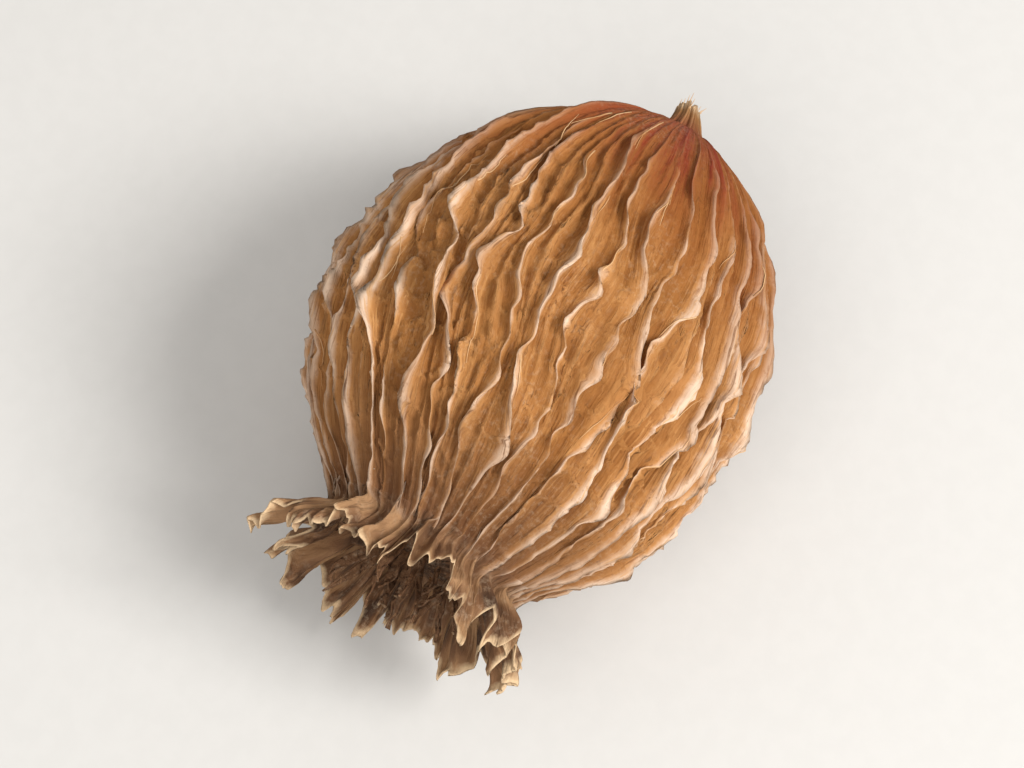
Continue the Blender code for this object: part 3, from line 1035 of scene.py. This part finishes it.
def collar_spot(number, share, reach, inward, length, lean):
    """A point of the collar, inward being the way in from its outside."""
    turn = FULL_TURN * (number + share) / RIB_COUNT
    beyond = length * reach
    along = 1 + beyond / HUSK_LENGTH
    place = Vector((CALYX_WAIST * math.cos(turn), CALYX_WAIST * math.sin(turn), -beyond))
    own = smooth(0, OWN_FROM, reach)
    skin_here = husk_relief(number, share, along)
    paper, raised = paper_height(number, share, reach, place)
    height = mix(skin_here.height, paper, own)
    radius = neck_radius(along, collar_radius(reach, lean)) - inward
    sideways = mix(skin_here.sideways, wave_at(SWAY, place), own)
    angle = angle_between(number, share, min(along, 1)) + sideways / radius
    point = round_pod(angle, min(along, 1), -HUSK_LENGTH / 2 - beyond, radius, height)
    ridge = mix(skin_here.ridge, raised, own)
    out = 1 + height / CALYX_WAIST
    grain = Vector((place.x * out, place.y * out, place.z))
    return Spot(on_floor(point), ridge, skin_here.fold * (1 - own), grain, reach)


def collar_columns():
    """Up the collar's outside from under the husk, over its edge and down its inside."""
    outside = [(row / (OUTSIDE_ROWS - 1), 0) for row in range(OUTSIDE_ROWS)]
    inside = [1 - MOUTH_DEPTH * row / (INSIDE_ROWS - 1) for row in range(1, INSIDE_ROWS)]
    inside = [(reach, mix(WALL_AT_EDGE, WALL_AT_HUSK, (1 - reach) ** WALL_SHAPE)) for reach in inside]
    columns = []
    for place in places_round():
        length, lean = collar_edge(sum(place) / RIB_COUNT)
        under = [(-row * TUCK_STEP / length, row * TUCK_DEPTH) for row in range(TUCKED_ROWS, 0, -1)]
        steps = under + outside + inside
        columns.append([collar_spot(*place, *step, length, lean) for step in steps])
    return columns


def collar_material():
    """Papery calyx: dark brown with painted shade in its dips, paler on its pleats and crinkles as painted
    highlight, and bleached along its frayed edge.
    """
    material, tree, shader = plain_material("papery_calyx", DRY_SHEEN)
    reach = kept_value(tree, "along")
    pleat = kept_value(tree, "ridge")
    fibre = fibres(tree, *COLLAR_FIBRE)
    crinkle = crepe(tree, *COLLAR_CRINKLED)
    blotch = noise_at(tree, own_place(tree), *COLLAR_BLOTCH)
    paper = ramp(tree, unevenly(tree, pleat, blotch), *COLLAR_BROWNS_AND_PAINTED_SHADE)
    paper = lay(tree, paper, COLLAR_TAN, fibre["Mask"], COLLAR_FIBRE_SHARE)
    uneven = maths(tree, "SUBTRACT", reach, times(tree, blotch, RIM_UNEVEN))
    paper = lay(tree, paper, COLLAR_EDGE, ramp(tree, uneven, *PALE_RIM), RIM_SHARE)
    husk_like = lay(tree, husk_browns_and_painted_shade(tree, blotch), FIBRE_TAN, fibre["Mask"], COLLAR_FIBRE_SHARE)
    # Darker in the low pleats by the husk: painted shade.
    husk_like = blend(tree, ramp(tree, pleat, *CALYX_BY_HEIGHT), husk_like, CALYX_BROWN)
    colour = blend(tree, ramp(tree, reach, *PAPER_FROM), husk_like, paper)
    colour = blend(tree, dust(tree, *COLLAR_DUST), colour, SCURF)
    normal = bumps(tree, (crinkle, COLLAR_CRINKLE_DEPTH, 1.0), (fibre["Height"], COLLAR_FIBRE_DEPTH, 1.0))
    feed(tree, shader, {"Base Color": colour, "Roughness": COLLAR_ROUGHNESS, "Normal": normal})
    return material


husk_end = -HUSK_LENGTH / 2
mouth_floor = husk_end - CALYX_LENGTH * (1 - MOUTH_DEPTH) * CALYX_NOTCH
collar_poles = (pole(husk_end + COLLAR_POLE_DEPTH, 0), pole(mouth_floor, MOUTH_FLOOR_REACH))
collar = skin("calyx_collar", collar_columns(), *collar_poles)
calyx_paper = collar_material()
part_of_pod(collar, calyx_paper)

# The tuft in the mouth of the calyx. The rest of the flower shrivelled there into a few curled
# strips, stuck together at their roots.
STRIP_COUNT = 19
STRIP_SEED = 5
STRIP_ROWS = 34
STRIP_ACROSS = 6
STRIP_THICKNESS = 0.07 * MM
STRIP_JITTER = 0.35
STRIP_ROOT = (0.2 * MM, 2.0 * MM)
STRIP_LENGTH = (2.2 * MM, 3.9 * MM)
STRIP_WIDTH = (0.24 * MM, 0.62 * MM)
STRIP_LEAN = (-0.15, 0.42)
STRIP_CURL = 1.7
STRIP_TWIST = 2.2
STRIP_BOW = 0.25
STRIP_FOOT = 0.35 * MM  # how deep in the collar's floor a strip begins
CURL_SHORTENS = 0.12
STRIP_POINT = (0.30, 0.69)  # from a wide root to a point, as shares of half a wave
STRIP_FULLNESS = 0.9
STRIP_HOLLOW = 0.25
STRIP_RUFFLE = 0.22 * MM
RUFFLES_ALONG = 5
RUFFLES_ACROSS = 1.5
STRIP_REACH = 0.9  # a strip's paleness beside that of the collar's edge
STRIP_PLEAT = 0.35


def strip_spots(draw, number):
    """One curled strip, as rows of places across it."""
    turn = FULL_TURN * (number + draw.uniform(-STRIP_JITTER, STRIP_JITTER)) / STRIP_COUNT
    root = draw.uniform(*STRIP_ROOT)
    length = draw.uniform(*STRIP_LENGTH)
    width = draw.uniform(*STRIP_WIDTH)
    lean = draw.uniform(*STRIP_LEAN)
    curl = draw.uniform(-STRIP_CURL, STRIP_CURL)
    twist = draw.uniform(-STRIP_TWIST, STRIP_TWIST)
    phase = draw.uniform(0, 9)
    wide, narrower = STRIP_POINT
    rows = []
    for row in range(STRIP_ROWS):
        share = row / (STRIP_ROWS - 1)
        out = root + length * (lean * share + STRIP_BOW * math.sin(curl * 2 * share) * share)
        x = mouth_floor + STRIP_FOOT - length * (share - CURL_SHORTENS * abs(curl) * share**2)
        side = math.sin(math.pi * min(wide + narrower * share, 1)) ** STRIP_FULLNESS * width / 2
        facing = turn + math.pi / 2 + twist * share
        middle = Vector((x, out * math.cos(turn), out * math.sin(turn)))
        across = Vector((0, math.cos(facing), math.sin(facing)))
        hollow = Vector((0, -math.sin(facing), math.cos(facing)))
        places = []
        for step in range(STRIP_ACROSS + 1):
            way = 2 * step / STRIP_ACROSS - 1
            waves = Vector((share * RUFFLES_ALONG + phase, way * RUFFLES_ACROSS, number))
            ruffle = STRIP_RUFFLE * noise.noise(waves)
            places.append(middle + across * side * way + hollow * (STRIP_HOLLOW * side * way**2 + ruffle))
        rows.append(places)
    return rows


def make_tuft():
    """All the strips as one mesh, each closed and as thin as paper."""
    draw = random.Random(STRIP_SEED)
    points, faces, reaches = [], [], []
    for number in range(STRIP_COUNT):
        rows = strip_spots(draw, number)
        start = len(points)
        wide = STRIP_ACROSS + 1
        for row, places in enumerate(rows):
            points += [place + TO_FLOOR for place in places]
            reaches += [STRIP_REACH * row / (STRIP_ROWS - 1)] * wide
        for row in range(STRIP_ROWS - 1):
            for step in range(STRIP_ACROSS):
                corner = start + row * wide + step
                faces.append((corner, corner + 1, corner + wide + 1, corner + wide))
    tuft = new_piece("calyx_tuft", points, faces)
    keep(tuft, "along", reaches)
    keep(tuft, "ridge", [STRIP_PLEAT] * len(points))
    keep_grain(tuft, points)
    wall = tuft.modifiers.new("thickness", "SOLIDIFY")
    wall.thickness = STRIP_THICKNESS
    wall.offset = 0
    return tuft


part_of_pod(make_tuft(), calyx_paper)

# The loose fibres. Where the husk is worn, single plant fibres have come away from the ribs and
# from the torn end of the stalk, and lie close along them.
LOOSE_SEED = 31
LOOSE_COUNT = 70
LOOSE_THICKNESS = 0.035 * MM
LOOSE_SIDES = 5
LOOSE_ROWS = 14
LOOSE_TAPER = 0.75
LOOSE_ACROSS = Vector((0.31, 0.43, 0.85))  # any way that no fibre runs
LOOSE_START = (0.06, 0.86)
LOOSE_REACH = (0.05, 0.16)
LOOSE_ENDS = (0.02, 0.98)
LOOSE_LIFT = (0.05 * MM, 0.45 * MM)
LOOSE_CURVE = 1.6
LOOSE_SUNK = 0.02 * MM
LOOSE_SWAY = 0.22
LOOSE_BESIDE = 0.04  # how far beside the crest it starts, as a share of the gap
STALK_FIBRES = 16
STALK_FIBRE_ROOT = (0.15 * MM, 0.66 * MM)
STALK_FIBRE_LENGTH = (0.20 * MM, 0.62 * MM)
STALK_FIBRE_SPLAY = 0.45
STALK_FIBRE_CURVE = 1.4
STALK_FIBRE_FOOT = 0.72
STALK_FIBRE_STRETCH = 1.25
LOOSE_TAN = (0.620, 0.400, 0.210)
LOOSE_BROWNS = ((0.35, SHOULDER_BROWN), (0.60, LOOSE_TAN))
LOOSE_TONE = (420.0, 2.0, 0.55)
LOOSE_ROUGHNESS = 0.7


def fibre_along_rib(draw):
    """The middle line of a fibre that lies along a rib."""
    number = draw.randrange(RIB_COUNT)
    start = draw.uniform(*LOOSE_START)
    reach = draw.uniform(*LOOSE_REACH) * draw.choice((-1, 1))
    lift = draw.uniform(*LOOSE_LIFT)
    sway = draw.uniform(-LOOSE_SWAY, LOOSE_SWAY)
    nearest, farthest = LOOSE_ENDS
    line = []
    for row in range(LOOSE_ROWS):
        share = row / (LOOSE_ROWS - 1)
        along = min(max(start + reach * share, nearest), farthest)
        beside = LOOSE_BESIDE + sway * share
        own = number if beside >= 0 else (number - 1) % RIB_COUNT
        spot = husk_spot(own, beside % 1, along).point
        middle = TO_FLOOR + Vector((spot.x - TO_FLOOR.x, BEND * math.sin(math.pi * along), 0))
        outward = (spot - middle).normalized()
        line.append(spot + outward * (lift * share**LOOSE_CURVE - LOOSE_SUNK * (1 - share)))
    return line


def fibre_at_stalk(draw):
    """The middle line of a fibre that stands out of the stalk's torn end."""
    turn = draw.uniform(0, FULL_TURN)
    root = draw.uniform(*STALK_FIBRE_ROOT)
    length = draw.uniform(*STALK_FIBRE_LENGTH)
    splay = draw.uniform(0, STALK_FIBRE_SPLAY)
    foot_x = HUSK_LENGTH / 2 + STALK_FIBRE_FOOT * STALK_LENGTH
    line = []
    for row in range(LOOSE_ROWS):
        share = row / (LOOSE_ROWS - 1)
        out = root + length * splay * share**STALK_FIBRE_CURVE
        x = foot_x + length * share * STALK_FIBRE_STRETCH
        line.append(TO_FLOOR + Vector((x, STALK_BEND + out * math.cos(turn), out * math.sin(turn))))
    return line


def make_loose_fibres():
    """Every loose fibre as a closed, tapering thread in one mesh."""
    draw = random.Random(LOOSE_SEED)
    lines = [fibre_along_rib(draw) for _ in range(LOOSE_COUNT)]
    lines += [fibre_at_stalk(draw) for _ in range(STALK_FIBRES)]
    points, faces = [], []
    for line in lines:
        start = len(points)
        for row, middle in enumerate(line):
            ahead = (line[min(row + 1, LOOSE_ROWS - 1)] - line[max(row - 1, 0)]).normalized()
            side = ahead.cross(LOOSE_ACROSS).normalized()
            other = ahead.cross(side)
            thick = LOOSE_THICKNESS * (1 - LOOSE_TAPER * row / (LOOSE_ROWS - 1))
            for corner in range(LOOSE_SIDES):
                turn = FULL_TURN * corner / LOOSE_SIDES
                point = middle + (side * math.cos(turn) + other * math.sin(turn)) * thick
                points.append(Vector((point.x, point.y, max(point.z, 0))))
        for row in range(LOOSE_ROWS - 1):
            for corner in range(LOOSE_SIDES):
                here = start + row * LOOSE_SIDES
                following = (corner + 1) % LOOSE_SIDES
                ahead = here + LOOSE_SIDES
                faces.append((here + corner, here + following, ahead + following, ahead + corner))
        faces.append(tuple(start + corner for corner in reversed(range(LOOSE_SIDES))))
        faces.append(tuple(len(points) - LOOSE_SIDES + corner for corner in range(LOOSE_SIDES)))
    return new_piece("loose_fibres", points, faces)


def loose_material():
    """Dry fibre, a little lighter and darker from place to place."""
    material, tree, shader = plain_material("loose_fibre", DRY_SHEEN)
    tone = noise_at(tree, own_place(tree), *LOOSE_TONE)
    feed(tree, shader, {"Base Color": ramp(tree, tone, *LOOSE_BROWNS), "Roughness": LOOSE_ROUGHNESS})
    return material


part_of_pod(make_loose_fibres(), loose_material())

# The floor. It is a plain pale sheet with a very faint tooth, wider than the picture, and it
# isn't part of the pod.
FLOOR_SIZE = 3.0
FLOOR_WHITE = (0.590, 0.589, 0.582)
FLOOR_TOOTH = 0.985  # how bright the dips of its tooth are beside that
FLOOR_GRAIN = (900.0, 3.0, 0.55)
FLOOR_GRAIN_SHOWS = (0.4, 0.6)
FLOOR_SHEEN = 0.2
FLOOR_ROUGHNESS = 0.9


def make_floor():
    """The sheet that the pod lies on."""
    ways = ((-1, -1), (1, -1), (1, 1), (-1, 1))
    corners = [(x * FLOOR_SIZE / 2, y * FLOOR_SIZE / 2, 0) for x, y in ways]
    floor = new_piece("floor", corners, [(0, 1, 2, 3)])
    material, tree, shader = plain_material("pale_sheet", FLOOR_SHEEN)
    tone = noise_at(tree, own_place(tree), *FLOOR_GRAIN)
    dip = tuple(FLOOR_TOOTH * part for part in FLOOR_WHITE)
    colour = ramp(tree, tone, *zip(FLOOR_GRAIN_SHOWS, (dip, FLOOR_WHITE)))
    feed(tree, shader, {"Base Color": colour, "Roughness": FLOOR_ROUGHNESS})
    floor.data.materials.append(material)


make_floor()

# The camera. It looks down on the pod from a steep angle, and is turned so that the stalk is at
# the upper right.
CAMERA_AZIMUTH = 299.5
CAMERA_ELEVATION = 65.0
CAMERA_DISTANCE = 0.112
CAMERA_LENS = 90.0
CAMERA_NEAREST = 0.01
LOOK_RIGHT = -1.0 * MM  # from the middle of the pod, to leave room for its shadow
LOOK_UP = -1.6 * MM

turn, rise = math.radians(CAMERA_AZIMUTH), math.radians(CAMERA_ELEVATION)
BACK = Vector((math.sin(turn) * math.cos(rise), -math.cos(turn) * math.cos(rise), math.sin(rise)))
RIGHT = Vector((math.cos(turn), math.sin(turn), 0))
UP = BACK.cross(RIGHT)
low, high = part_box("cardamom_pod")
looked_at = (Vector(low) + Vector(high)) / 2 + RIGHT * LOOK_RIGHT + UP * LOOK_UP
camera = bpy.data.objects.new("camera", bpy.data.cameras.new("camera"))
camera.data.lens = CAMERA_LENS
camera.data.clip_start = CAMERA_NEAREST
camera.location = looked_at + BACK * CAMERA_DISTANCE
camera.rotation_euler = (-BACK).to_track_quat("-Z", "Y").to_euler()
bpy.context.scene.collection.objects.link(camera)
bpy.context.scene.camera = camera

# The studio: a soft light to the right of the camera, that rakes across the ribs, a wide weak one
# to its left, and a pale room all round.
KEY_WAY = (0.82, 0.08, 0.98)  # to the right, up and back, as the camera sees it
KEY_AWAY = 0.33
KEY_SIZE = 0.13
KEY_POWER = 1.17
KEY_WARMTH = (1.0, 0.97, 0.93)
FILL_WAY = (-0.30, -0.20, 1.0)
FILL_AWAY = 0.38
FILL_SIZE = 0.26
FILL_POWER = 0.62
FILL_WARMTH = (1.0, 0.95, 0.89)
ROOM = (0.95, 0.93, 0.90)
ROOM_STRENGTH = 0.54


def soft_light(name, way, away, size, power, colour):
    """A square light that faces the pod, this way from it and this far away."""
    lamp = bpy.data.lights.new(name, "AREA")
    lamp.size = size
    lamp.energy = power
    lamp.color = colour
    light = bpy.data.objects.new(name, lamp)
    right, up, back = way
    outward = (RIGHT * right + UP * up + BACK * back).normalized()
    light.location = outward * away
    light.rotation_euler = (-outward).to_track_quat("-Z", "Y").to_euler()
    bpy.context.scene.collection.objects.link(light)


soft_light("key_light", KEY_WAY, KEY_AWAY, KEY_SIZE, KEY_POWER, KEY_WARMTH)
soft_light("fill_light", FILL_WAY, FILL_AWAY, FILL_SIZE, FILL_POWER, FILL_WARMTH)
world = bpy.data.worlds.new("room")
world.use_nodes = True
world.node_tree.nodes["Background"].inputs["Color"].default_value = (*ROOM, 1)
world.node_tree.nodes["Background"].inputs["Strength"].default_value = ROOM_STRENGTH
bpy.context.scene.world = world
bpy.context.scene.view_settings.view_transform = "Standard"
